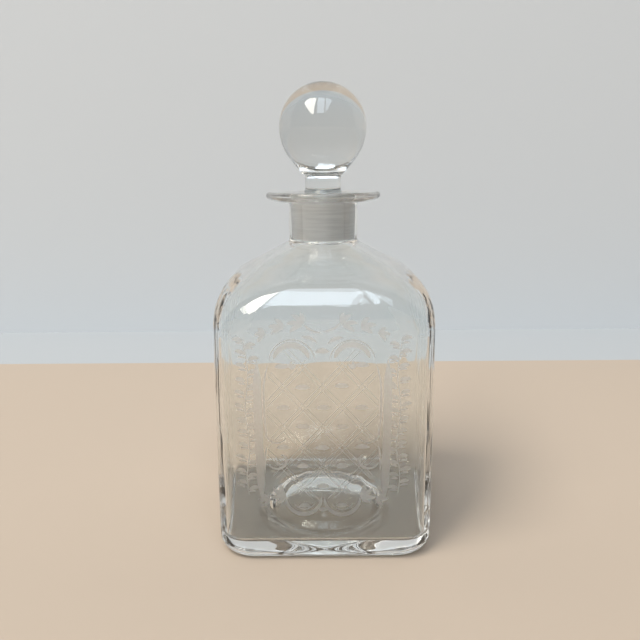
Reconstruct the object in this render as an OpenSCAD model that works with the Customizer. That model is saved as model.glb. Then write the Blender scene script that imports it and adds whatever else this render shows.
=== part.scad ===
// Square decanter with a ground-in ball stopper.
// Two separate pieces of glass: the blown bottle and the solid stopper.
// Frame: +Z up, origin at the centre of the footprint on the table, front is -Y. Millimetres.

/* [Body] */
// Width and depth of the square body
body_w = 100; // [94:1:108]
// Radius of the four upright corners
corner_r = 15.5; // [12:0.5:20]
// Height where the upright walls turn into the shoulder
shoulder_z = 112; // [105:1:114]
// Radius of that turn
shoulder_r = 21.5; // [18:0.5:25]
// Slope of the shoulder between the turn and the neck, in degrees
shoulder_slope = 28; // [25:1:30]
// Height of the rounded bottom edge
heel_h = 8.5; // [6:0.5:10]
// How far the rounded bottom edge draws in
heel_in = 6; // [4:0.5:7]

/* [Glass thickness] */
// Side walls and shoulder
wall = 4; // [3:0.1:4.6]
// Floor beside the wall
floor_t = 8; // [7:0.5:10]
// Glass over the middle of the hollow pushed up into the underside
punt_glass = 8; // [7:0.5:9]
// Radius of that hollow
punt_r = 27.5; // [24:0.5:31]
// Height of that hollow
punt_h = 9.5; // [8:0.5:11]

/* [Neck and lip] */
// Outer radius of the neck
neck_r = 16.4; // [15.6:0.1:17.4]
// Radius of the ground bore at the top of its taper
bore_r = 10.3; // [9.8:0.1:10.6]
// How much the bore's radius shrinks down the ground length
bore_taper = 0.35; // [0.2:0.05:0.6]
// Outer radius of the flat lip
lip_r = 27.4; // [26:0.2:30]
// Thickness of the lip
lip_t = 4.5; // [4:0.1:5.5]
// Height of the lip's top face
lip_z = 166; // [164:0.5:170]

/* [Stopper] */
// Radius of the ball
ball_r = 20.6; // [19:0.1:21.4]
// Height of the ball's centre
ball_z = 195.9; // [195:0.1:199]
// Height of the ball's lower half, which hangs a little
ball_low = 22.3; // [21.4:0.1:23]
// Radius of the stem between the ball and the plug
stem_r = 8.5; // [7.8:0.1:8.8]
// Height where the stem opens out into the cone under the ball
stem_top_z = 172.9; // [172:0.1:174]
// Height where that cone meets the ball
cone_top_z = 180; // [178.5:0.5:181]
// Radial gap between the plug and the bore
fit_gap = 0.05; // [0.02:0.01:0.1]

/* [Hidden] */

half_w = body_w / 2;

// Steps along the heel, round the shoulder, up to the neck and round each corner of the faceted body.
heel_steps = 6;
turn_steps = 12;
cone_steps = 12;
corner_steps = 10;

// The corners open out from their own radius on the walls to a circle at the neck, with a gap that keeps
// the sides from vanishing.
round_power = 0.4;
corner_gap = 0.3;
shoulder_turn = 90 - shoulder_slope;

// Share of the heel's draw by which its corners tighten.
heel_corner_share = 0.4;

// The hollow follows the outside at the wall's thickness; its corners are tighter by corner_glass.
corner_glass = 7.5;
hollow_half = half_w - wall;
hollow_turn_r = shoulder_r - wall;
hollow_corner_r = corner_r - corner_glass;
hollow_heel = 3.5;

// The underside's hollow and the dome above it are parts of concentric spheres.
punt_sphere_r = (punt_r * punt_r + punt_h * punt_h) / (2 * punt_h);
punt_centre_z = punt_h - punt_sphere_r;
dome_sphere_r = punt_sphere_r + punt_glass;

// How far solids run into each other and cutters run out of the glass, so that no two faces only touch.
tuck = 0.5;
past = 1;
neck_tuck = 6;
body_tuck = 3;
hollow_tuck = 0.8;
bore_run = 8;

// The lip's edge: a small radius above, a short upright step and a long soft curve below.
lip_top_r = 1.6;
lip_step = 0.1;
lip_under_w = 6.5;
lip_under_h = lip_t - lip_top_r;
lip_edge_z = lip_z - lip_top_r;
lip_curve_steps = 15;
lip_fillet = 1.8;

// The neck's outside meets the shoulder in a fillet.
neck_fillet = 2.2;
neck_foot_z = shoulder_height(half_w, shoulder_r, neck_r);

// The bore: rounded mouth, ground taper, rounded way into the hollow.
mouth_round = 1.2;
throat_round = 3;
throat_dip = 0.15;
bore_foot_r = bore_r - bore_taper;
throat_r = bore_foot_r + throat_round * (1 - sin(shoulder_slope));
throat_z = shoulder_height(hollow_half, hollow_turn_r, throat_r);
ground_z = throat_z + throat_round * cos(shoulder_slope) - throat_dip;

// The plug follows the bore's taper, from just under the lip's top face to just above the bore's foot.
plug_drop = 1.3;
plug_short = 0.5;
plug_top_z = lip_z - plug_drop;
plug_end_z = ground_z + plug_short;
plug_chamfer = 0.7;
plug_fillet = 4;
plug_top_r = ground_r(plug_top_z) - fit_gap;
plug_end_r = ground_r(plug_end_z + plug_chamfer) - fit_gap;
plug_dome = 0.8;
plug_face_r = plug_end_r - plug_chamfer;
plug_dome_r = (plug_face_r * plug_face_r + plug_dome * plug_dome) / (2 * plug_dome);
plug_fillet_x = stem_r + plug_fillet;
plug_fillet_z = plug_top_z + sqrt(pow(plug_fillet, 2) - pow(plug_fillet_x - plug_top_r, 2));

// The ball's lower half is half an ellipse, cut off where the cone from the stem meets it.
ball_steps = 24;
ball_cut = asin((ball_z - cone_top_z) / ball_low);

// Radius of the ground bore at height z.
function ground_r(z) = bore_foot_r + bore_taper * (z - ground_z) / (lip_z - mouth_round - ground_z);

// Height of the shoulder's slope where it has narrowed to the given half width.
function shoulder_height(wide, turn_r, half) =
    shoulder_z + turn_r * sin(shoulder_turn)
    + (wide - turn_r * (1 - cos(shoulder_turn)) - half) * tan(shoulder_slope);

// Outline of a square slice with round corners, anticlockwise from +X.
function slice(half, round_r, z) = [
    for (corner = [0 : 3], step = [0 : corner_steps])
        let (
            a = 90 * (corner + step / corner_steps),
            x = half - round_r,
            sx = corner == 0 || corner == 3 ? 1 : -1,
            sy = corner < 2 ? 1 : -1
        )
        [sx * x + round_r * cos(a), sy * x + round_r * sin(a), z]
];

// Heel slice at angle a, from 0 under the base to 90 on the wall.
function heel_slice(wide, round_r, base_z, rise, draw, a) =
    let (in = draw * (1 - sin(a)))
    slice(wide - in, round_r - heel_corner_share * in, base_z + rise * (1 - cos(a)));

// Shoulder slice of a given half width and height; top is the half width at which it is a circle.
function shoulder_slice(wide, round_r, top, half, z) =
    let (blend = pow(max(0, min(1, (wide - half) / (wide - top))), round_power))
    slice(half, min(half - corner_gap, round_r + (half - round_r) * blend), z);

// A square block with a rounded heel and a shoulder that narrows to a round end of half width end.
module square_body(wide, round_r, base_z, heel_rise, heel_draw, turn_r, top, end) {
    turn_half = wide - turn_r * (1 - cos(shoulder_turn));
    rings = concat(
        [for (i = [0 : heel_steps])
            heel_slice(wide, round_r, base_z, heel_rise, heel_draw, 90 * i / heel_steps)],
        [for (i = [0 : turn_steps])
            let (a = shoulder_turn * i / turn_steps)
            shoulder_slice(wide, round_r, top, wide - turn_r * (1 - cos(a)), shoulder_z + turn_r * sin(a))],
        [for (i = [1 : cone_steps])
            let (half = turn_half + (end - turn_half) * i / cone_steps)
            shoulder_slice(wide, round_r, top, half, shoulder_height(wide, turn_r, half))]
    );
    n = len(rings[0]);
    last = n * (len(rings) - 1);
    polyhedron(
        points = [for (ring = rings) each ring],
        faces = concat(
            [[for (j = [0 : n - 1]) j]],
            [[for (j = [n - 1 : -1 : 0]) last + j]],
            [for (i = [0 : n : last - 1], j = [0 : n - 1]) [i + j, i + n + j, i + n + (j + 1) % n]],
            [for (i = [0 : n : last - 1], j = [0 : n - 1]) [i + j, i + n + (j + 1) % n, i + (j + 1) % n]]
        )
    );
}

// Half section of the lip, the neck's outside and their fillets.
module neck_section() {
    square_from(0, neck_foot_z - neck_tuck, neck_r, lip_z);
    square_from(0, lip_edge_z, lip_r - lip_top_r, lip_z);
    translate([lip_r - lip_top_r, lip_edge_z])
        circle(r = lip_top_r, $fn = 64);
    polygon(concat(
        [[0, lip_edge_z + lip_step], [0, lip_z - lip_t]],
        [for (i = [0 : lip_curve_steps])
            let (a = 90 * i / lip_curve_steps)
            [lip_r - lip_under_w * (1 - sin(a)), lip_edge_z - lip_under_h * cos(a)]],
        [[lip_r, lip_edge_z + lip_step]]
    ));
    lip_fill();
    shoulder_fill();
}

// Rectangle between two corners of the half section.
module square_from(x0, z0, x1, z1) {
    translate([x0, z0])
        square([x1 - x0, z1 - z0]);
}

// Concave fillet between the neck and the lip.
module lip_fill() {
    under_z = lip_z - lip_t;
    difference() {
        square_from(neck_r - tuck, under_z - lip_fillet, neck_r + lip_fillet, under_z + tuck);
        translate([neck_r + lip_fillet, under_z - lip_fillet])
            circle(r = lip_fillet, $fn = 64);
    }
}

// Concave fillet between the neck and the sloping shoulder; it cuts a little into both, so that no edge
// is left thin.
module shoulder_fill() {
    bite = 0.06;
    spare = 0.3;
    reach = neck_fillet * (1 - sin(shoulder_slope));
    centre_z = shoulder_height(half_w, shoulder_r, neck_r + reach) + neck_fillet * cos(shoulder_slope);
    difference() {
        square_from(neck_r - tuck, neck_foot_z - body_tuck, neck_r + reach + spare, centre_z);
        translate([neck_r + neck_fillet, centre_z])
            circle(r = neck_fillet + bite, $fn = 64);
    }
}

// Half section of everything bored out of the neck.
module bore_section() {
    polygon([
        [0, ground_z - bore_run],
        [bore_foot_r, ground_z - bore_run],
        [bore_foot_r, ground_z],
        [bore_r, lip_z - mouth_round],
        [bore_r, lip_z + past],
        [0, lip_z + past]
    ]);
    difference() {
        square_from(bore_r - past, lip_z - mouth_round, bore_r + mouth_round, lip_z + past);
        translate([bore_r + mouth_round, lip_z - mouth_round])
            circle(r = mouth_round, $fn = 64);
    }
    difference() {
        square_from(bore_foot_r - past, ground_z - bore_run, throat_r, ground_z);
        translate([bore_foot_r + throat_round, ground_z])
            circle(r = throat_round, $fn = 64);
    }
}

// The hollow of the body, with the floor's dome left standing.
module hollow() {
    difference() {
        square_body(hollow_half, hollow_corner_r, floor_t, hollow_heel, hollow_heel,
                    hollow_turn_r, throat_r, throat_r - hollow_tuck);
        translate([0, 0, punt_centre_z])
            sphere(r = dome_sphere_r, $fn = 96);
    }
}

module bottle() {
    color([0.86, 0.9, 0.89, 0.35])
        difference() {
            union() {
                square_body(half_w, corner_r, 0, heel_h, heel_in, shoulder_r, neck_r, neck_r - body_tuck);
                rotate_extrude($fn = 128)
                    neck_section();
            }
            hollow();
            rotate_extrude($fn = 128)
                bore_section();
            translate([0, 0, punt_centre_z])
                sphere(r = punt_sphere_r, $fn = 96);
        }
}

// Shallow dome on the plug's lower end.
module plug_end_section() {
    intersection() {
        translate([0, plug_end_z - plug_dome + plug_dome_r])
            circle(r = plug_dome_r, $fn = 128);
        square_from(0, plug_end_z - plug_dome - past, plug_face_r, plug_end_z + tuck);
    }
}

// Curve that widens the stem into the top of the plug.
module waist_section() {
    difference() {
        square_from(stem_r - tuck, plug_top_z - tuck, plug_top_r, plug_fillet_z);
        translate([plug_fillet_x, plug_fillet_z])
            circle(r = plug_fillet, $fn = 64);
    }
}

// The cone from the stem and the ball's lower half.
module ball_foot_section() {
    polygon(concat(
        [[0, ball_z], [0, stem_top_z], [stem_r, stem_top_z]],
        [for (i = [0 : ball_steps])
            let (a = ball_cut * (1 - i / ball_steps))
            [ball_r * cos(a), ball_z - ball_low * sin(a)]]
    ));
}

// Half section of the solid stopper: plug, stem, cone and ball.
module stopper_section() {
    plug_end_section();
    polygon([
        [0, plug_end_z],
        [plug_face_r, plug_end_z],
        [plug_end_r, plug_end_z + plug_chamfer],
        [plug_top_r, plug_top_z],
        [0, plug_top_z]
    ]);
    waist_section();
    square_from(0, plug_top_z - tuck, stem_r, stem_top_z + tuck);
    ball_foot_section();
    intersection() {
        translate([0, ball_z])
            circle(r = ball_r, $fn = 128);
        square_from(0, ball_z, ball_r + past, ball_z + ball_r + past);
    }
}

module stopper() {
    color([0.88, 0.92, 0.91, 0.35])
        rotate_extrude($fn = 128)
            stopper_section();
}

bottle();
stopper();
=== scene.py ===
"""Looks for the square decanter: a blown glass body with a wheel-cut front, and a ground-in ball stopper."""
import math

import bpy
import numpy as np
from mathutils import Matrix, Vector
from mathutils.geometry import delaunay_2d_cdt


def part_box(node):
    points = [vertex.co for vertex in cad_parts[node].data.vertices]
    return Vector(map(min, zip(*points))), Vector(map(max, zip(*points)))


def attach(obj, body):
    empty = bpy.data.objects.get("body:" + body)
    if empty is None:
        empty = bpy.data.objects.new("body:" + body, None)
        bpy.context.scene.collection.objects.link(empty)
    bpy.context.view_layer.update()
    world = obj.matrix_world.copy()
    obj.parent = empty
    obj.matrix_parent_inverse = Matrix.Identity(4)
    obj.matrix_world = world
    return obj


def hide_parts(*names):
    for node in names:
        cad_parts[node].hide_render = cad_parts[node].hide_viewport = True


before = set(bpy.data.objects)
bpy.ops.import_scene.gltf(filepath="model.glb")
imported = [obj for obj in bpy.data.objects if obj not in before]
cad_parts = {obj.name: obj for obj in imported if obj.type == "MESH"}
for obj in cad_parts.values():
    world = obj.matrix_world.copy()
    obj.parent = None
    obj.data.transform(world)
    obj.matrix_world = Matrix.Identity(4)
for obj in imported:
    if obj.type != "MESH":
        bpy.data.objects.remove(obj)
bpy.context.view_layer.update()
bottle_low, bottle_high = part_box("bottle")
stopper_low, stopper_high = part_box("stopper")

MM = 0.001
scene = bpy.context.scene

# ---------------------------------------------------------------- camera
EYE = (-0.00187, -0.34064, 0.17690)
PITCH = math.radians(12.25)
ROLL = math.radians(-0.385)


def add_camera():
    data = bpy.data.cameras.new("camera")
    data.sensor_width = 36.0
    data.lens = 39.26
    data.clip_start = 0.01
    data.clip_end = 50.0
    camera = bpy.data.objects.new("camera", data)
    scene.collection.objects.link(camera)
    camera.location = EYE
    level = math.radians(90)
    tilt, roll = Matrix.Rotation(level - PITCH, 4, "X"), Matrix.Rotation(ROLL, 4, "Z")
    camera.rotation_euler = (tilt @ roll).to_euler()
    scene.camera = camera


add_camera()

# ---------------------------------------------------------------- sizes, in mm
HALF = (bottle_high.x - bottle_low.x) / 2 / MM   # half width of the square body
LIP_Z = bottle_high.z / MM                       # top face of the lip
TOP_Z = stopper_high.z / MM                      # top of the ball
BALL_R = (stopper_high.x - stopper_low.x) / 2 / MM
BALL_Z = TOP_Z - BALL_R

# body
CORNER = 15.5
HEEL_RISE, HEEL_DRAW = 8.5, 6.0
HEEL_CORNER_SHARE = 0.4                          # share of a heel's draw by which its corners tighten
SHOULDER_Z, SHOULDER_R = 112.0, 21.5             # where the wall turns in, and its radius there
SHOULDER_SLOPE = math.radians(28)                # slope of the cone that runs on to the neck
SHOULDER_TURN = math.pi / 2 - SHOULDER_SLOPE
SHOULDER_ROUND = 0.4                             # how soon the square slices turn round on the way up
SHOULDER_EASE = 8.0                              # length over which the shoulder's curvature eases in and out
# neck and lip
NECK_R = 16.4
NECK_FILLET, LIP_FILLET = 2.2, 1.8
LIP_R, LIP_T, LIP_TOP_R, LIP_UNDER = 27.4, 4.5, 1.6, 6.5
BORE_R, BORE_TAPER, GROUND_Z = 10.3, 0.35, 143.3
MOUTH_ROUND, THROAT_ROUND = 1.2, 3.0
RIDGE = 0.012                                    # height of the fine rings that grinding leaves
# glass thickness
WALL, FLOOR_T = 4.0, 8.0
HOLLOW_CORNER = 8.0
HOLLOW_TOP_R = 11.5                              # half width at which the hollow's slices are circles
HOLLOW_RISE, HOLLOW_DRAW = 3.5, 3.5
PUNT_R, PUNT_H, PUNT_GLASS = 27.5, 9.5, 8.0
PUNT_SPHERE = (PUNT_R ** 2 + PUNT_H ** 2) / (2 * PUNT_H)
PUNT_EDGE, FLOOR_SOFT = 2.5, 2.5                 # how soft the edges of the punt and of the floor's dome are
# stopper
STEM_R, STEM_TOP_Z, CONE_TOP_Z = 8.5, 172.9, 180.0
BALL_LOW = 22.3                                  # the ball's lower half hangs below a true sphere
FIT_GAP = 0.05
PLUG_END_Z, PLUG_CHAMFER, PLUG_DOME = GROUND_Z + 0.5, 0.7, 0.8
PLUG_TOP_Z = LIP_Z - 1.3
PLUG_FILLET, CONE_FILLET = 4.0, 1.6

# mesh
SIDE_COLUMNS = 48                                # mesh columns along one side of the body
COLUMNS = 4 * SIDE_COLUMNS
STOPPER_COLUMNS = 160
SIDE_FLAT = HALF - CORNER
SIDE_LENGTH = 2 * SIDE_FLAT + CORNER * math.pi / 2
PANEL_LOW, PANEL_HIGH = 15.0, 122.0              # the band of the wall that can carry cutting
PANEL_ROWS = 54


# ---------------------------------------------------------------- square slices
def ring_points(half, corner, z, p):
    """Points on square slices with round corners: p runs round the body, 0 at the middle of the front."""
    p = np.asarray(p, float)
    side = np.floor((p + SIDE_LENGTH / 2) / SIDE_LENGTH)
    q = (p - side * SIDE_LENGTH) / (SIDE_LENGTH / 2)
    side = side.astype(int) % 4
    flat = half - corner
    along = np.abs(q) * (flat + corner * math.pi / 4)
    turn = np.maximum(along - flat, 0) / np.maximum(corner, 1e-9)
    x = np.sign(q) * (np.minimum(along, flat) + corner * np.sin(turn))
    y = flat + corner * np.cos(turn)
    nx, ny = np.sign(q) * np.sin(turn), np.cos(turn)
    c, s = np.cos(side * math.pi / 2), np.sin(side * math.pi / 2)
    points = np.stack([x * c + y * s, x * s - y * c, np.broadcast_to(z, x.shape)], -1)
    out = np.stack([nx * c + ny * s, nx * s - ny * c, np.zeros_like(x)], -1)
    return points, out


def shoulder_path():
    """The wall's outline up to the shoulder, over it and along the cone: t, turn from upright, half width and
    height. The curvature eases in and out, so that the glass has no hard edge where the shoulder starts."""
    step, length = 0.02, 180
    t = np.arange(0, length, step)
    end = SHOULDER_Z + SHOULDER_R * SHOULDER_TURN
    ease_in = np.clip((t - SHOULDER_Z) / SHOULDER_EASE + 0.5, 0, 1)
    ease_out = np.clip((end - t) / SHOULDER_EASE + 0.5, 0, 1)
    curve = ease_in * ease_out / SHOULDER_R
    turn = np.concatenate([[0], np.cumsum((curve[1:] + curve[:-1]) / 2 * step)])
    middle = (turn[1:] + turn[:-1]) / 2
    half = HALF - np.concatenate([[0], np.cumsum(np.sin(middle) * step)])
    z = np.concatenate([[0], np.cumsum(np.cos(middle) * step)])
    return t, turn, half, z


PATH = shoulder_path()


def slice_at(t, inset, corner, round_at):
    """Half width, corner radius and height of the wall at t, which is its height up to the shoulder, then the
    length along it. The inset moves it into the glass; at the half width round_at the slice is a circle."""
    turn, half, z = (np.interp(t, PATH[0], v) for v in PATH[1:])
    half, z = half - inset * np.cos(turn), z - inset * np.sin(turn)
    blend = np.clip((HALF - inset - half) / (HALF - inset - round_at), 0, 1) ** SHOULDER_ROUND
    return half, corner + (half - corner) * blend, z


def wall_slice(t):
    return slice_at(t, 0.0, CORNER, NECK_R)


def hollow_slice(t):
    return slice_at(t, WALL, HOLLOW_CORNER, HOLLOW_TOP_R)


def run_to(half, inset=0.0):
    """The t at which the cone has narrowed to that half width."""
    return float(np.interp(-half, -(PATH[2] - inset * np.cos(PATH[1])), PATH[0]))


# Long ripples of mould-blown glass: size, turns round the body, waves up and shift; then where they fade out.
OUTER_WAVES = [(0.05, 7, 160.0, 0.4), (0.035, 13, -210.0, 1.9), (0.03, 4, 58.0, 2.7), (0.012, 31, 300.0, 0.9)]
OUTER_BAND = (24, 118, 14)
INNER_WAVES = [(0.11, 9, 190.0, 2.1), (0.07, 17, -260.0, 0.3), (0.06, 6, 71.0, 4.0), (0.035, 38, 420.0, 1.3),
               (0.03, 53, -350.0, 5.1)]
INNER_BAND = (32, 112, 16)


def fade(t, low, high, soft):
    """1 between low and high, easing to 0 outside over soft."""
    u = np.clip(np.minimum(t - low, high - t) / soft + 1, 0, 1)
    return u * u * (3 - 2 * u)


def ripples(p, t, waves, band):
    """How far the ripples push the glass out; they close round the body."""
    around = 2 * math.pi * p / (4 * SIDE_LENGTH)
    total = np.zeros(np.broadcast(p, t).shape)
    for size, turns, up, shift in waves:
        total = total + size * np.sin(turns * around + 2 * math.pi * t / up + shift)
    return total * fade(t, *band)


def wall_point(p, t):
    """A point of the outer wall."""
    half, corner, z = wall_slice(t)
    points, out = ring_points(half, corner, z, p)
    return points + out * ripples(p, t, OUTER_WAVES, OUTER_BAND)[..., None]


def wall_normal(p, t):
    step = 0.05
    along = wall_point(p + step, t) - wall_point(p - step, t)
    up = wall_point(p, t + step) - wall_point(p, t - step)
    n = np.cross(along, up)
    return n / np.linalg.norm(n, axis=-1, keepdims=True)


# ---------------------------------------------------------------- strokes of the cutting wheel
def arc(cx, cz, r, a0, a1, n=9):
    a = np.radians(np.linspace(a0, a1, n))
    return np.stack([cx + r * np.cos(a), cz + r * np.sin(a)], -1)


def bow(x0, z0, x1, z1, bend, n=7):
    """A curved line between two points that bows out to its left by bend."""
    s = np.linspace(0, 1, n)[:, None]
    a, b = np.array([x0, z0], float), np.array([x1, z1], float)
    side = np.array([-(b - a)[1], (b - a)[0]])
    return a + (b - a) * s + side / max(np.linalg.norm(side), 1e-9) * (4 * bend * s * (1 - s))


def scroll(x, z, r0, r1, a0, a1, n=16):
    """A spiral line about (x, z)."""
    s = np.linspace(0, 1, n)
    a, r = np.radians(a0 + (a1 - a0) * s), r0 + (r1 - r0) * s
    return np.stack([x + r * np.cos(a), z + r * np.sin(a)], -1)


def cut(line, width, depth=0.22, fat=0.6, blunt=False):
    """One stroke: its middle line, half width along it and depth; a small fat keeps it wide to its ends."""
    s = np.linspace(0, 1, len(line))
    wide = np.full(len(line), width) if blunt else width * np.maximum(np.sin(math.pi * s), 0) ** fat
    return {"line": np.asarray(line, float), "wide": wide, "depth": depth}


def leaf_fan(x, z, lengths, angles, width, bend):
    """Leaves that spring from one point."""
    found = []
    for length, angle in zip(lengths, angles):
        a = math.radians(angle)
        found.append(cut(bow(x, z, x + length * math.cos(a), z + length * math.sin(a), bend), width))
    return found


# ---------------------------------------------------------------- pattern on the front
MID = -1.0                                       # the pattern's middle line
CELL_X, CELL_Z = 8.7, 9.35                       # half the width and height of a diamond of the lattice
LATTICE_Z = 37.0                                 # middle of the lowest diamond
LATTICE_SIDES = (-25.5, 23.6)
LINE_GAP, LINE_WIDTH, LINE_DEPTH = 1.45, 0.13, 0.09
ARCH_X, ARCH_Z, ARCH_R = 13.2, 94.5, 6.3         # the two arches over the lattice field
FIELD_EDGE, FIELD_FALL = 20, 1.5                 # from this distance on the field's top slopes down
FIELD_LOW, FIELD_RISE, FIELD_HALF = 31.0, 13.0, 24.5
OVAL_WIDTH, OVAL_DEPTH, OVAL_BEND = 1.15, 0.3, -0.55
GARLAND_X = 33.4


def field_top(x):
    """Upper edge of the lattice field: two arches, then a slope to the side."""
    x = np.abs(x - MID)
    lobe = np.sqrt(np.maximum(ARCH_R ** 2 - (x - ARCH_X) ** 2, 0))
    return np.where(x < FIELD_EDGE, ARCH_Z + lobe, ARCH_Z - (x - FIELD_EDGE) * FIELD_FALL)


def field_low(x):
    """Lower edge of the lattice field: it rises to the sides."""
    return FIELD_LOW + FIELD_RISE * (np.abs(x - MID) / FIELD_HALF) ** 2


def runs_inside(xs, z):
    """The stretches of a line that lie in the field, as pairs of first and last index."""
    inside = (z < field_top(xs)) & (z > field_low(xs))
    edges = np.flatnonzero(np.diff(np.concatenate([[0], inside.astype(int), [0]])))
    return [[start, end - 1] for start, end in zip(edges[::2], edges[1::2])]


def lattice():
    """Pairs of fine crossing lines, kept inside the field."""
    lines = []
    slope = CELL_Z / CELL_X
    step, shortest = 0.25, 12
    xs = np.arange(*LATTICE_SIDES, step)
    for direction in (1, -1):
        for k in range(-9, 17, 2):
            for shift in (-LINE_GAP, LINE_GAP):
                z = LATTICE_Z + k * CELL_Z + direction * slope * (xs - MID) + shift
                for ends in runs_inside(xs, z):
                    if ends[1] - ends[0] >= shortest:
                        line = np.stack([xs[ends], z[ends]], -1)
                        lines.append(cut(line, LINE_WIDTH, LINE_DEPTH, blunt=True))
    return lines


def ovals(rng):
    """A small lens-shaped cut in the middle of each diamond."""
    found = []
    for n in range(0, 7):
        for m in range(-2, 3):
            x, z = MID + m * CELL_X, LATTICE_Z + n * CELL_Z
            if (m + n) % 2 or z > field_top(x) - 2 or z < field_low(x) + 1:
                continue
            length, dx, dz = rng.uniform(2.9, 3.5), rng.uniform(-0.4, 0.4), rng.uniform(-0.4, 0.4)
            line = bow(x + dx + length, z + dz, x + dx - length, z + dz, OVAL_BEND)
            found.append(cut(line, OVAL_WIDTH, OVAL_DEPTH, 0.55))
    return found


def arch_shell():
    """Over each arch a broad crescent and a fine line, under it three short rays."""
    x, z = ARCH_X, ARCH_Z + 0.8
    return [
        cut(arc(x, z, 7.7, 8, 172, 13), 1.35, 0.26, 0.35),
        cut(arc(x, z, 9.9, 2, 178, 15), 0.3, 0.16, 0.3),
        *leaf_fan(x, 92.0, (3.2, 3.8, 3.2), (50, 90, 130), 0.75, 0.0),
    ]


def side_band():
    """A band from the arch down the side of the field that curls in at its end."""
    band = np.concatenate([
        bow(23.6, 94.5, 25.8, 78, 0.8, 6),
        bow(25.8, 78, 25.0, 64, 0.4, 5)[1:],
        arc(20.4, 63.0, 4.9, 0, -150, 8)[1:],
    ])
    return [
        cut(band, 0.5, 0.18, 0.3),
        cut(bow(24.6, 57.2, 25.6, 44.0, 0.6, 6), 0.45, 0.16, 0.5),
        cut(scroll(19.8, 50.6, 5.6, 2.2, -20, -250, 13), 0.6, 0.2, 0.4),
    ]


def crest():
    """Half of the hanging curve at the top and the leaves that spring from it."""
    return [
        cut(arc(0, 118.6, 10.2, -90, -38, 7), 0.55, 0.2, 0.4),
        *leaf_fan(8.6, 111.4, (5.6, 6.6, 7.0, 6.0), (78, 42, 8, -28), 1.05, 0.8),
        *leaf_fan(16.8, 109.6, (6.4, 6.8, 5.4), (52, 14, -24), 1.1, 0.8),
        *leaf_fan(24.4, 107.4, (4.6, 5.0, 4.4), (40, -4, -46), 0.95, 0.6),
        cut(bow(2.2, 103.2, 9.2, 106.2, 1.0, 8), 0.8, 0.2),
    ]


def matte_band():
    """A wide, shallow band between the lattice field and the garland."""
    return [cut(bow(27.4, 30.0, 28.4, 97.0, -0.5, 9), 1.9, 0.14, 0.12)]


def foot_lobe():
    """At the bottom a lobe with an oval in it, and leaves that run out to the side."""
    return [
        cut(arc(8.5, 31.6, 8.0, 176, 364, 15), 0.95, 0.24, 0.4),
        cut(arc(8.5, 31.2, 5.2, 200, 340, 9), 0.28, 0.14, 0.3),
        cut(bow(11.2, 27.6, 5.8, 27.6, -0.5), 1.15, 0.3, 0.55),
        *leaf_fan(17.0, 33.4, (6.2, 7.0, 6.0, 5.0), (30, -8, -44, 70), 1.05, -0.7),
        *leaf_fan(24.0, 31.6, (5.0, 5.6, 4.6), (34, -6, -48), 0.95, -0.6),
    ]


def garland_x(z):
    """The garland's stem waves from side to side."""
    return GARLAND_X + 0.8 * np.sin(z / 5.2)


def garland(rng):
    """A waving stem with a long and a short leaf on both sides at every step."""
    z = np.linspace(33, 106, 40)
    cuts = [cut(np.stack([garland_x(z), z], -1), 0.26, 0.14, 0.2)]
    for z in np.arange(36.0, 104.0, 6.0):
        x = garland_x(z)
        for side, up in ((-1, 0.0), (1, 2.5)):
            long, short, lift = rng.uniform(4.6, 5.6), rng.uniform(3.6, 4.4), rng.uniform(0.5, 1.5)
            root, low = x + 0.3 * side, z + up - 1.4
            cuts.append(cut(bow(root, z + up, x + side * long, z + up + lift, 0.8 * side), 1.0))
            cuts.append(cut(bow(root, low, x + side * short, low + 0.1 + lift * 0.4, 0.5 * side), 0.55, 0.16))
    return cuts


def half_pattern(rng):
    """Everything cut on one side of the middle line; x is measured from it."""
    return arch_shell() + side_band() + crest() + matte_band() + foot_lobe() + garland(rng)


def pattern(seed):
    """All the cuts on the front."""
    rng = np.random.default_rng(seed)
    cuts = lattice() + ovals(rng)
    for sign in (1, -1):
        for c in half_pattern(rng):
            line = c["line"] * [sign, 1] + [MID, 0] + rng.uniform(-0.3, 0.3, 2)
            cuts.append({**c, "line": line[::sign], "wide": c["wide"][::sign]})
    cuts.append(cut(bow(MID + 3.2, 99.6, MID - 3.2, 99.6, -0.6), 1.2, 0.3, 0.55))
    cuts.append(cut(bow(MID + 2.4, 26.6, MID - 2.4, 26.6, 0.5), 1.0, 0.26, 0.55))
    return cuts


# ---------------------------------------------------------------- panels of the wall
RAIL_SHARE, RAIL_FROM = 0.6, 0.7                 # strokes wider than RAIL_FROM get an inner outline


def side_of(line):
    """Unit vectors to the left of each point of a line."""
    d = np.gradient(line, axis=0)
    d /= np.maximum(np.linalg.norm(d, axis=1, keepdims=True), 1e-9)
    return np.stack([-d[:, 1], d[:, 0]], -1)


def outline(c, share):
    """Closed outline at a share of a stroke's half width."""
    off = side_of(c["line"]) * (c["wide"] * share)[:, None]
    left, right = c["line"] + off, (c["line"] - off)[::-1]
    if c["wide"][0] < 1e-6:
        right = right[1:-1] if c["wide"][-1] < 1e-6 else right[:-1]
    return np.concatenate([left, right])


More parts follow.
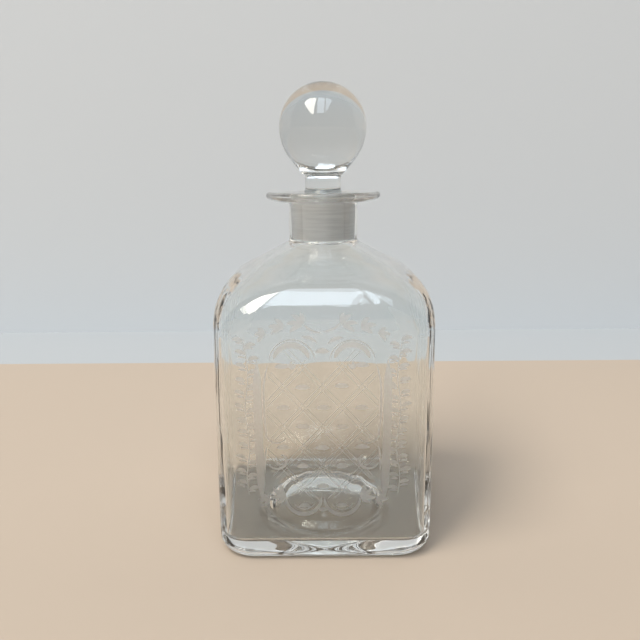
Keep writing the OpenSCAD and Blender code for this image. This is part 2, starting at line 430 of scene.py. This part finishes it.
def cut_depth(points, cuts):
    """How deep the wheel went at each point, and how far it lies from the stroke's middle, 1 at its edge."""
    depth, ratio = np.zeros(len(points)), np.full(len(points), 9.0)
    for c in cuts:
        line, wide = c["line"], c["wide"]
        pad = wide.max() + 0.05
        near = np.flatnonzero(np.all((points > line.min(0) - pad) & (points < line.max(0) + pad), axis=1))
        if not len(near):
            continue
        q, a, d = points[near], line[:-1], np.diff(line, axis=0)
        u = np.clip(((q[:, None] - a) * d).sum(-1) / np.maximum((d * d).sum(-1), 1e-12), 0, 1)
        away = np.linalg.norm(q[:, None] - a - d * u[..., None], axis=-1)
        w = wide[:-1] + np.diff(wide) * u
        r = np.where(away < 1e-6, 0.0, away / np.maximum(w, 1e-4)).min(1)
        ratio[near] = np.minimum(ratio[near], r)
        size = min(c["depth"], 0.8 * wide.max())
        depth[near] = np.maximum(depth[near], size * np.clip(1 - r * r, 0, 1))
    return depth, ratio


def panel_border():
    """The points round a panel: along the bottom, up the right, back along the top and down the left."""
    left, right = -SIDE_LENGTH / 2, SIDE_LENGTH / 2
    ps = np.linspace(left, right, SIDE_COLUMNS + 1)
    ts = np.linspace(PANEL_LOW, PANEL_HIGH, PANEL_ROWS + 1)
    return ([(p, PANEL_LOW) for p in ps] + [(right, t) for t in ts[1:]]
            + [(p, PANEL_HIGH) for p in ps[::-1][1:]] + [(left, t) for t in ts[::-1][1:-1]])


def panel_grid(drawn):
    """Points that fill a panel, closer where the glass bends, and none within a cell of what is drawn."""
    across, across_bend, up, up_bend, cell = 3.1, 1.4, 3.3, 1.5, 0.6
    bend = SIDE_FLAT + 3
    corner = np.arange(bend + across_bend, SIDE_LENGTH / 2 - 0.5, across_bend)
    gx = np.concatenate([np.arange(-bend, bend + 0.1, across), corner, -corner])
    wall = np.arange(PANEL_LOW + 2, SHOULDER_Z - 1, up)
    shoulder = np.arange(SHOULDER_Z, PANEL_HIGH - 0.6, up_bend)
    near = [(i, j) for i in (-1, 0, 1) for j in (-1, 0, 1)]
    taken = {(int(x // cell) + i, int(z // cell) + j) for x, z in drawn for i, j in near}
    grid = [(x, z) for x in gx for z in np.concatenate([wall, shoulder])]
    return [(x, z) for x, z in grid if (int(x // cell), int(z // cell)) not in taken]


def panel(cuts):
    """Triangles of one side of the wall in (p, t), with the cuts let into it.
    Gives the points, which border point each is (or -1), the depth there, the triangles and which are cut."""
    border = panel_border()
    points = list(border)
    edges = [(i, (i + 1) % len(border)) for i in range(len(border))]

    def add(line, closed):
        start = len(points)
        points.extend(map(tuple, line))
        edges.extend((start + i, start + i + 1) for i in range(len(line) - 1))
        if closed:
            edges.append((start + len(line) - 1, start))

    for c in cuts:
        add(outline(c, 1.0), True)
        if c["wide"].max() > RAIL_FROM:
            add(outline(c, RAIL_SHARE), True)
        add(c["line"][c["wide"] > 1e-6], False)
    points.extend(panel_grid(points[len(border):]))
    made = delaunay_2d_cdt([Vector(v) for v in points], edges, [], 0, 1e-4, True)
    verts = np.array([tuple(v) for v in made[0]])
    tris = np.array([tuple(f) for f in made[2]])
    owner = np.full(len(verts), -1)
    for i, origin in enumerate(made[3]):
        for o in origin:
            if o < len(border):
                owner[i] = o
    depth, _ = cut_depth(verts, cuts)
    depth[owner >= 0] = 0
    a, b, c = (verts[tris[:, i]] for i in range(3))
    area = (b[:, 0] - a[:, 0]) * (c[:, 1] - a[:, 1]) - (b[:, 1] - a[:, 1]) * (c[:, 0] - a[:, 0])
    tris = np.where((area > 0)[:, None], tris, tris[:, ::-1])[np.abs(area) > 1e-7]
    _, ratio = cut_depth(verts[tris].mean(1), cuts)
    return verts, owner, depth, tris, ratio < 1.0


# ---------------------------------------------------------------- bottle profile
def ground_radius(z):
    """Radius of the ground bore at height z."""
    return BORE_R - BORE_TAPER * (LIP_Z - MOUTH_ROUND - z) / (LIP_Z - MOUTH_ROUND - GROUND_Z)


class Profile:
    """The slices from the middle of the underside, over the lip, to the middle of the inner floor."""

    def __init__(self):
        self.rows = []
        self.marks = {}

    def add(self, half, corner, z, kind="clear"):
        half, corner, z = (np.atleast_1d(np.asarray(v, float)) for v in (half, corner, z))
        n = max(len(half), len(corner), len(z))
        for h, c, y in zip(np.broadcast_to(half, n), np.broadcast_to(corner, n), np.broadcast_to(z, n)):
            self.rows.append((h, min(c, h), y, kind))

    def round(self, r, z, kind="clear"):
        self.add(r, r, z, kind)

    def bend(self, r, z, radius, start, end, n):
        """Round slices along an arc about (r, z) between two angles in degrees, without its first point."""
        turn = np.radians(np.linspace(start, end, n))[1:]
        self.round(r + radius * np.cos(turn), z + radius * np.sin(turn))

    def mark(self, name):
        self.marks[name] = len(self.rows) - 1


def underside(prof):
    """The pushed-up hollow, its soft edge and the flat foot."""
    slope = math.asin((PUNT_R - PUNT_EDGE) / PUNT_SPHERE)
    for i in range(30):
        slope = math.asin((PUNT_R - PUNT_EDGE * math.tan(slope / 2)) / PUNT_SPHERE)
    r = PUNT_SPHERE * np.sin(slope * np.linspace(0, 1, 20)[1:])
    prof.round(r, PUNT_H - PUNT_SPHERE + np.sqrt(PUNT_SPHERE ** 2 - r ** 2))
    join_r, join_z = r[-1], PUNT_H - PUNT_SPHERE + PUNT_SPHERE * math.cos(slope)
    radius = join_z / (1 - math.cos(slope))
    turn = np.linspace(slope, 0, 8)[1:]
    foot_r = join_r + radius * math.sin(slope)
    prof.round(foot_r - radius * np.sin(turn), radius * (1 - np.cos(turn)))
    for u in (0.3, 0.6, 0.85, 0.95):
        half = foot_r + (HALF - HEEL_DRAW - foot_r) * u
        prof.add(half, half + (CORNER - HEEL_CORNER_SHARE * HEEL_DRAW - half) * u, 0)


def outside(prof):
    """Heel, wall, shoulder, neck and the underside of the lip."""
    a = np.radians(np.linspace(0, 90, 13))
    draw = HEEL_DRAW * (1 - np.sin(a))
    prof.add(HALF - draw, CORNER - HEEL_CORNER_SHARE * draw, HEEL_RISE * (1 - np.cos(a)))
    prof.add(HALF, CORNER, np.linspace(HEEL_RISE, PANEL_LOW, 5)[1:-1])
    prof.add(*wall_slice(np.array([PANEL_LOW])))
    prof.mark("panel_low")
    prof.add(*wall_slice(np.array([PANEL_HIGH])))
    prof.mark("panel_high")
    fillet_r = NECK_R + NECK_FILLET * (1 - math.sin(SHOULDER_SLOPE))
    t = PANEL_HIGH + (run_to(fillet_r) - PANEL_HIGH) * np.linspace(0, 1, 30)[1:]
    prof.add(*wall_slice(t))
    neck_low = float(wall_slice(t[-1])[2]) + NECK_FILLET * math.cos(SHOULDER_SLOPE)
    turn = np.linspace(math.pi / 2 + SHOULDER_SLOPE, math.pi, 8)[1:]
    prof.round(NECK_R + NECK_FILLET + NECK_FILLET * np.cos(turn), neck_low - NECK_FILLET * np.sin(turn))
    neck_high = LIP_Z - LIP_T - LIP_FILLET
    prof.round(NECK_R, np.linspace(neck_low, neck_high, 10)[1:])
    prof.bend(NECK_R + LIP_FILLET, neck_high, LIP_FILLET, 180, 90, 8)


def lip(prof):
    """The flat lip: a long soft curve below, a small radius above, and the rounded mouth."""
    under = LIP_T - LIP_TOP_R
    prof.round(np.linspace(NECK_R + LIP_FILLET, LIP_R - LIP_UNDER, 4)[1:-1], LIP_Z - LIP_T)
    turn = np.radians(np.linspace(-90, 0, 14))
    prof.round(LIP_R - LIP_UNDER + LIP_UNDER * np.cos(turn), LIP_Z - LIP_TOP_R + under * np.sin(turn))
    prof.bend(LIP_R - LIP_TOP_R, LIP_Z - LIP_TOP_R, LIP_TOP_R, 0, 90, 8)
    prof.round(np.linspace(LIP_R - LIP_TOP_R, BORE_R + MOUTH_ROUND, 9)[1:], LIP_Z)
    prof.bend(BORE_R + MOUTH_ROUND, LIP_Z - MOUTH_ROUND, MOUTH_ROUND, 90, 180, 7)


def ground_bore(prof):
    """The tapered bore with the fine rings that the grinding left."""
    z = np.linspace(LIP_Z - MOUTH_ROUND, GROUND_Z, 46)[1:]
    count = np.arange(len(z))
    ridge = RIDGE * np.sin(count * 2.4) * np.minimum(1, count[::-1] / 3)
    prof.round(ground_radius(z) + ridge, z, "ground")


def hollow(prof):
    """Throat, shoulder, wall, heel and floor of the hollow; the floor's height comes later."""
    foot = BORE_R - BORE_TAPER
    prof.bend(foot + THROAT_ROUND, GROUND_Z, THROAT_ROUND, 180, 270 - math.degrees(SHOULDER_SLOPE), 9)
    throat_r = foot + THROAT_ROUND * (1 - math.sin(SHOULDER_SLOPE))
    prof.add(*hollow_slice(np.linspace(run_to(throat_r + 1.0, WALL), SHOULDER_Z, 34)))
    prof.mark("hollow_high")
    inner = HALF - WALL
    prof.add(inner, HOLLOW_CORNER, np.linspace(SHOULDER_Z, FLOOR_T + HOLLOW_RISE, 26)[1:-1])
    a = np.radians(np.linspace(90, 0, 16))
    draw = HOLLOW_DRAW * (1 - np.sin(a))
    prof.add(inner - draw, HOLLOW_CORNER - HEEL_CORNER_SHARE * draw, FLOOR_T + HOLLOW_RISE * (1 - np.cos(a)))
    prof.mark("floor")
    floor_corner = HOLLOW_CORNER - HEEL_CORNER_SHARE * HOLLOW_DRAW
    for u in np.linspace(0, 1, 40)[1:-1]:
        half = (inner - HOLLOW_DRAW) * (1 - u)
        prof.add(half, half + (floor_corner - half) * (1 - u) ** 2, FLOOR_T)


def floor_height(r):
    """Height of the inner floor: flat by the walls, rising over the punt."""
    dome = PUNT_SPHERE + PUNT_GLASS
    over = PUNT_H - PUNT_SPHERE + np.sqrt(np.maximum(dome ** 2 - r ** 2, 0)) - FLOOR_T
    return FLOOR_T + FLOOR_SOFT * np.log1p(np.exp(over / FLOOR_SOFT))


# ---------------------------------------------------------------- meshes
def mesh_piece(name, verts, faces, slots, normals, materials, body, node):
    mesh = bpy.data.meshes.new(name)
    mesh.from_pydata([tuple(v) for v in verts * MM], [], [tuple(int(i) for i in f) for f in faces])
    mesh.polygons.foreach_set("material_index", slots)
    mesh.polygons.foreach_set("use_smooth", np.ones(len(mesh.polygons), bool))
    for m in materials:
        mesh.materials.append(m)
    mesh.update()
    mesh.validate()
    mesh.normals_split_custom_set_from_vertices([tuple(n) for n in normals])
    obj = bpy.data.objects.new(name, mesh)
    scene.collection.objects.link(obj)
    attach(obj, body)
    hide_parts(node)


def band_faces(row, columns):
    """Quads between one row of a closed grid and the next."""
    c = np.arange(columns)
    n = (c + 1) % columns
    low, high = row * columns, (row + 1) * columns
    return list(np.stack([low + c, low + n, high + n, high + c], -1))


def bottle_grid(prof, p):
    """Points of every slice of the profile, with the ripples and the floor's dome."""
    low, high, floor = prof.marks["panel_low"], prof.marks["panel_high"], prof.marks["floor"]
    rippled_rows = 20                            # of the hollow's shoulder, above its wall
    hollow_wall = prof.marks["hollow_high"] - rippled_rows
    grid = []
    for i, (half, corner, z, kind) in enumerate(prof.rows):
        points, out = ring_points(half, corner, z, p)
        push = np.zeros_like(p)
        if i <= high:
            push = ripples(p, z, OUTER_WAVES, OUTER_BAND)
        elif i > hollow_wall:
            push = ripples(p, z, INNER_WAVES, INNER_BAND)
        if i > floor:
            points[:, 2] = floor_height(np.hypot(points[:, 0], points[:, 1]))
        grid.append(points + out * push[:, None])
    grid[high] = wall_point(p, np.full(len(p), PANEL_HIGH))
    grid[low] = wall_point(p, np.full(len(p), PANEL_LOW))
    return np.array(grid)


def grid_normals(grid, prof, p):
    """Normals from the neighbours on the grid; along the panels the wall's own."""
    along = np.roll(grid, -1, 1) - np.roll(grid, 1, 1)
    up = np.gradient(grid, axis=0)
    up[1:-1] = grid[2:] - grid[:-2]
    normal = np.cross(along, up)
    normal[prof.marks["panel_low"]] = wall_normal(p, np.full(len(p), PANEL_LOW))
    normal[prof.marks["panel_high"]] = wall_normal(p, np.full(len(p), PANEL_HIGH))
    normal[0] = [0, 0, -1]
    normal[-1] = [0, 0, 1]
    return normal / np.linalg.norm(normal, axis=-1, keepdims=True)


def border_ids(side, low, high, corner_rows):
    """Mesh points along the border of one side's panel, in the order of panel_border."""
    across = side * SIDE_COLUMNS - SIDE_COLUMNS // 2 + np.arange(SIDE_COLUMNS + 1)
    across %= COLUMNS
    return np.concatenate([
        low * COLUMNS + across,
        corner_rows[side],
        high * COLUMNS + across[::-1],
        corner_rows[(side - 1) % 4][::-1],
    ])


def build_bottle(materials):
    """One closed mesh with the outer and the inner skin; materials are clear, cut and ground glass."""
    clear, was_cut, ground = range(3)
    prof = Profile()
    for part in (underside, outside, lip, ground_bore, hollow):
        part(prof)
    p = np.arange(COLUMNS) * SIDE_LENGTH / SIDE_COLUMNS
    grid = bottle_grid(prof, p)
    low, high = prof.marks["panel_low"], prof.marks["panel_high"]
    verts, normals = [grid.reshape(-1, 3)], [grid_normals(grid, prof, p).reshape(-1, 3)]
    faces, slots = [], []
    kinds = [row[3] for row in prof.rows]
    for i in range(len(kinds) - 1):
        if i != low:
            faces += band_faces(i, COLUMNS)
            slots += [ground if "ground" in kinds[i:i + 2] else clear] * COLUMNS
    # the middles of the underside and of the floor
    count = len(kinds) * COLUMNS
    verts.append(np.array([[0, 0, PUNT_H], [0, 0, float(floor_height(0.0))]]))
    normals.append(np.array([[0, 0, -1.0], [0, 0, 1.0]]))
    last = count - COLUMNS
    for c in range(COLUMNS):
        n = (c + 1) % COLUMNS
        faces += [(count, n, c), (count + 1, last + c, last + n)]
        slots += [clear, clear]
    count += 2
    # upright rows at the four corners, shared by two panels each
    ts = np.linspace(PANEL_LOW, PANEL_HIGH, PANEL_ROWS + 1)[1:-1]
    corner_rows = []
    for side in range(4):
        corner = np.full(len(ts), (side + 0.5) * SIDE_LENGTH)
        verts.append(wall_point(corner, ts))
        normals.append(wall_normal(corner, ts))
        corner_rows.append(count + np.arange(len(ts)))
        count += len(ts)
    # the four panels; only the front is cut
    for side in range(4):
        flat, owner, depth, tris, in_cut = panel(pattern(11) if side == 0 else [])
        ids = border_ids(side, low, high, corner_rows)
        inner = owner < 0
        index = np.zeros(len(flat), int)
        index[inner] = count + np.arange(inner.sum())
        index[~inner] = ids[owner[~inner]]
        around, t = flat[inner, 0] + side * SIDE_LENGTH, flat[inner, 1]
        out = wall_normal(around, t)
        verts.append(wall_point(around, t) - out * depth[inner][:, None])
        normals.append(out)
        count += int(inner.sum())
        faces += list(index[tris])
        slots += list(np.where(in_cut, was_cut, clear))
    verts, normals = np.concatenate(verts), np.concatenate(normals)
    mesh_piece("decanter_bottle", verts, faces, slots, normals, materials, "bottle", "bottle")


def stopper_profile():
    """Radius, height and kind of each ring of the stopper, from the plug's end to the top of the ball."""
    rows = []

    def add(r, z, kind="clear"):
        for a, b in zip(np.atleast_1d(r), np.broadcast_to(z, np.atleast_1d(r).shape)):
            rows.append((float(a), float(b), kind))

    # plug: shallow dome, rounded edge, ground taper; the rows stop a little before each edge
    short = 0.3
    plug_low = ground_radius(PLUG_END_Z + PLUG_CHAMFER) - FIT_GAP
    face = plug_low - PLUG_CHAMFER
    r = np.linspace(0, face - short, 9)[1:]
    add(r, PLUG_END_Z - PLUG_DOME * (1 - (r / face) ** 2), "ground")
    turn = np.radians(np.linspace(-80, 0, 7))
    add(face + PLUG_CHAMFER * np.cos(turn), PLUG_END_Z + PLUG_CHAMFER * (1 + np.sin(turn)), "ground")
    z = np.linspace(PLUG_END_Z + PLUG_CHAMFER, PLUG_TOP_Z - short, 44)[1:]
    add(ground_radius(z) - FIT_GAP + RIDGE * (np.sin(np.arange(len(z)) * 2.1) - 1), z, "ground")
    # waist between the plug and the stem
    plug_top = ground_radius(PLUG_TOP_Z) - FIT_GAP
    waist_r = STEM_R + PLUG_FILLET
    waist_z = PLUG_TOP_Z + math.sqrt(PLUG_FILLET ** 2 - (waist_r - plug_top) ** 2)
    add(plug_top - 0.06, PLUG_TOP_Z - 0.05, "ground")
    start = math.atan2(PLUG_TOP_Z - waist_z, plug_top - waist_r) % (2 * math.pi)
    turn = np.linspace(start - 0.12, math.pi, 9)
    add(waist_r + PLUG_FILLET * np.cos(turn), waist_z + PLUG_FILLET * np.sin(turn))
    # stem, small fillet and cone
    cone_r = BALL_R * math.sqrt(1 - ((BALL_Z - CONE_TOP_Z) / BALL_LOW) ** 2)
    lean = math.atan2(cone_r - STEM_R, CONE_TOP_Z - STEM_TOP_Z)
    fillet_z = STEM_TOP_Z - CONE_FILLET * math.tan(lean / 2)
    z = np.linspace(waist_z, fillet_z, 6)[1:]
    add(np.full(len(z), STEM_R), z)
    turn = np.linspace(0, lean, 7)[1:]
    add(STEM_R + CONE_FILLET * (1 - np.cos(turn)), fillet_z + CONE_FILLET * np.sin(turn))
    start = np.array(rows[-1][:2])
    line = start + (np.array([cone_r, CONE_TOP_Z]) - start) * np.linspace(0, 1, 9)[1:-1, None]
    add(line[:, 0], line[:, 1])
    # the ball's two halves
    turn = np.linspace(-math.asin((BALL_Z - CONE_TOP_Z) / BALL_LOW), 0, 40)
    add(BALL_R * np.cos(turn), BALL_Z + BALL_LOW * np.sin(turn))
    turn = np.linspace(0, math.pi / 2, 40)[1:-1]
    add(BALL_R * np.cos(turn), BALL_Z + BALL_R * np.sin(turn))
    return rows


def build_stopper(materials):
    """The profile turned about the axis; materials are clear and ground glass."""
    rows = stopper_profile()
    prof = np.array([(r, z) for r, z, _ in rows])
    n = STOPPER_COLUMNS
    a = np.arange(n) * 2 * math.pi / n
    d = np.gradient(prof, axis=0)
    d[1:-1] = prof[2:] - prof[:-2]
    d /= np.linalg.norm(d, axis=1, keepdims=True)

    def turned(r, z):
        return np.stack([r * np.cos(a), r * np.sin(a), np.broadcast_to(z, (len(prof), n))], -1).reshape(-1, 3)

    ends = [[0, 0, PLUG_END_Z - PLUG_DOME], [0, 0, TOP_Z]]
    verts = np.concatenate([turned(prof[:, :1], prof[:, 1:]), ends])
    normals = np.concatenate([turned(d[:, 1:], -d[:, :1]), [[0, 0, -1.0], [0, 0, 1.0]]])
    faces, slots = [], []
    for i in range(len(rows) - 1):
        faces += band_faces(i, n)
        slots += [1 if rows[i][2] == "ground" and rows[i + 1][2] == "ground" else 0] * n
    low, high, last = len(rows) * n, len(rows) * n + 1, (len(rows) - 1) * n
    for j in range(n):
        k = (j + 1) % n
        faces += [(low, k, j), (high, last + j, last + k)]
        slots += [1, 0]
    mesh_piece("ball_stopper", verts, faces, slots, normals, materials, "stopper", "stopper")


# ---------------------------------------------------------------- materials
GLASS_IOR = 1.52


def new_material(name):
    material = bpy.data.materials.new(name)
    material.use_nodes = True
    tree = material.node_tree
    tree.nodes.clear()
    return material, tree, tree.nodes.new("ShaderNodeOutputMaterial")


def new_principled(name):
    material, tree, out = new_material(name)
    bsdf = tree.nodes.new("ShaderNodeBsdfPrincipled")
    tree.links.new(bsdf.outputs[0], out.inputs["Surface"])
    return material, tree, bsdf


def add_drift(tree, bsdf, stretch, scale, detail, stops, dark, light):
    """A noise, stretched along Z, that moves the colour between dark and light; gives the noise."""
    coord = tree.nodes.new("ShaderNodeTexCoord")
    mapping = tree.nodes.new("ShaderNodeMapping")
    mapping.inputs["Scale"].default_value = (1, 1, stretch)
    noise = tree.nodes.new("ShaderNodeTexNoise")
    noise.inputs["Scale"].default_value = scale
    noise.inputs["Detail"].default_value = detail
    ramp = tree.nodes.new("ShaderNodeValToRGB")
    for element, stop, colour in zip(ramp.color_ramp.elements, stops, (dark, light)):
        element.position = stop
        element.color = (*colour, 1)
    tree.links.new(coord.outputs["Object"], mapping.inputs["Vector"])
    tree.links.new(mapping.outputs[0], noise.inputs["Vector"])
    tree.links.new(noise.outputs["Fac"], ramp.inputs["Fac"])
    tree.links.new(ramp.outputs["Color"], bsdf.inputs["Base Color"])
    return noise


def clear_glass(name, dark, light):
    """Polished glass whose tint drifts a little in long upright streaks, as in old mould-blown glass."""
    material, tree, bsdf = new_principled(name)
    add_drift(tree, bsdf, 0.25, 60.0, 2.0, (0.3, 0.7), dark, light)
    bsdf.inputs["Roughness"].default_value = 0.0
    bsdf.inputs["IOR"].default_value = GLASS_IOR
    bsdf.inputs["Transmission Weight"].default_value = 1.0
    return material


def deepen(material, colour, low, high):
    """Deepens the tint upwards between two heights in metres, where the glass gets thick."""
    tree = material.node_tree
    base = tree.nodes["Principled BSDF"].inputs["Base Color"]
    coord = tree.nodes.new("ShaderNodeTexCoord")
    split = tree.nodes.new("ShaderNodeSeparateXYZ")
    share = tree.nodes.new("ShaderNodeMapRange")
    share.interpolation_type = "SMOOTHSTEP"
    share.inputs["From Min"].default_value = low
    share.inputs["From Max"].default_value = high
    mix = tree.nodes.new("ShaderNodeMixRGB")
    mix.blend_type = "MULTIPLY"
    mix.inputs["Color2"].default_value = (*colour, 1)
    tree.links.new(coord.outputs["Object"], split.inputs[0])
    tree.links.new(split.outputs["Z"], share.inputs["Value"])
    tree.links.new(share.outputs["Result"], mix.inputs["Fac"])
    tree.links.new(base.links[0].from_socket, mix.inputs["Color1"])
    tree.links.new(mix.outputs["Color"], base)


def ground_glass(name, dark, light, rough, through, scale, rings, shine):
    """Glass roughened by a wheel: it scatters part of the light and lets the rest through. A large rings
    stretches the grain round the neck."""
    material, tree, bsdf = new_principled(name)
    noise = add_drift(tree, bsdf, rings, scale, 3.0, (0.35, 0.65), dark, light)
    bsdf.inputs["Roughness"].default_value = rough
    bsdf.inputs["IOR"].default_value = GLASS_IOR
    bsdf.inputs["Transmission Weight"].default_value = through
    bsdf.inputs["Specular IOR Level"].default_value = shine
    bump = tree.nodes.new("ShaderNodeBump")
    bump.inputs["Strength"].default_value = 0.35
    bump.inputs["Distance"].default_value = 0.0002
    tree.links.new(noise.outputs["Fac"], bump.inputs["Height"])
    tree.links.new(bump.outputs[0], bsdf.inputs["Normal"])
    return material


def matte(name, colour):
    material, tree, bsdf = new_principled(name)
    bsdf.inputs["Base Color"].default_value = (*colour, 1)
    bsdf.inputs["Roughness"].default_value = 0.9
    return material


def emissive(name, colour, strength):
    material, tree, out = new_material(name)
    emission = tree.nodes.new("ShaderNodeEmission")
    emission.inputs["Color"].default_value = (*colour, 1)
    emission.inputs["Strength"].default_value = strength
    tree.links.new(emission.outputs[0], out.inputs["Surface"])
    return material


glass = clear_glass("clear_glass", (0.925, 0.945, 0.937), (0.96, 0.972, 0.967))
cut_glass = ground_glass("cut_glass", (0.88, 0.87, 0.86), (0.97, 0.965, 0.96), 0.45, 0.95, 900.0, 1.0, 0.5)
ball_glass = clear_glass("ball_glass", (0.945, 0.965, 0.96), (0.97, 0.981, 0.978))
deepen(ball_glass, (0.81, 0.815, 0.815), 0.177, 0.19)
plug_glass = ground_glass("plug_glass", (0.82, 0.835, 0.84), (0.94, 0.955, 0.96), 0.6, 0.26, 70.0, 16.0, 0.1)

build_bottle([glass, cut_glass, plug_glass])
build_stopper([ball_glass, plug_glass])

# ---------------------------------------------------------------- studio, in metres
STAGE = 9.0                                      # half width of the stage
FLOOR_Z = -0.0002
FLOOR_BACK, WALL_Y, WALL_TOP = 0.29, 0.42, 2.5
PANE_DISTANCE, PANE_CENTRE = 8.0, Vector((0, 0, 0.15))


def stage_mesh(name, verts, faces, material):
    mesh = bpy.data.meshes.new(name)
    mesh.from_pydata(verts, [], faces)
    mesh.materials.append(material)
    obj = bpy.data.objects.new(name, mesh)
    scene.collection.objects.link(obj)
    return obj


def sheet(name, start, end, colour):
    """A flat sheet as wide as the stage between two lines, given as (y, z)."""
    verts = [(x, y, z) for y, z in (start, end) for x in (-STAGE, STAGE)]
    stage_mesh(name, verts, [(0, 1, 3, 2)], matte(name, colour))


def pane(name, corners, colour, strength):
    """A bright window pane far off; corners are azimuth and elevation in degrees, azimuth 0 towards -Y."""
    verts = []
    for corner in corners:
        az, el = map(math.radians, corner)
        way = Vector((math.sin(az) * math.cos(el), -math.cos(az) * math.cos(el), math.sin(el)))
        verts.append(PANE_CENTRE + PANE_DISTANCE * way)
    obj = stage_mesh(name, verts, [tuple(range(len(verts)))], emissive(name, colour, strength))
    obj.visible_camera = False


sheet("floor", (-STAGE, FLOOR_Z), (FLOOR_BACK, FLOOR_Z), (0.47, 0.385, 0.31))
# The strip between the floor's back edge and the wall is a darker copy of the wall's colour: painted shade on
# a sheet that faces up into the lamps.
sheet("sill_painted_shade", (FLOOR_BACK, FLOOR_Z), (WALL_Y, FLOOR_Z), (0.43, 0.45, 0.47))
sheet("wall", (WALL_Y, FLOOR_Z), (WALL_Y, WALL_TOP), (0.57, 0.595, 0.62))
pane("pane_left", [(-32, 29), (-25, 31), (-39, 72), (-77, 64), (-74, 50)], (1.0, 0.95, 0.86), 13.5)
pane("pane_middle", [(-16, 32), (3, 32), (16, 73), (-32, 73)], (0.79, 0.895, 1.0), 5.2)
pane("pane_right", [(7, 34), (15, 41), (48, 63), (25, 73)], (0.79, 0.895, 1.0), 4.6)

world = bpy.data.worlds.new("studio")
scene.world = world
world.use_nodes = True
background = world.node_tree.nodes["Background"]
background.inputs["Color"].default_value = (0.8, 0.82, 0.84, 1)
background.inputs["Strength"].default_value = 0.22

scene.view_settings.view_transform = "Standard"
scene.cycles.use_denoising = True
scene.cycles.max_bounces = 28
scene.cycles.transmission_bounces = 24
scene.cycles.glossy_bounces = 20
scene.cycles.diffuse_bounces = 4
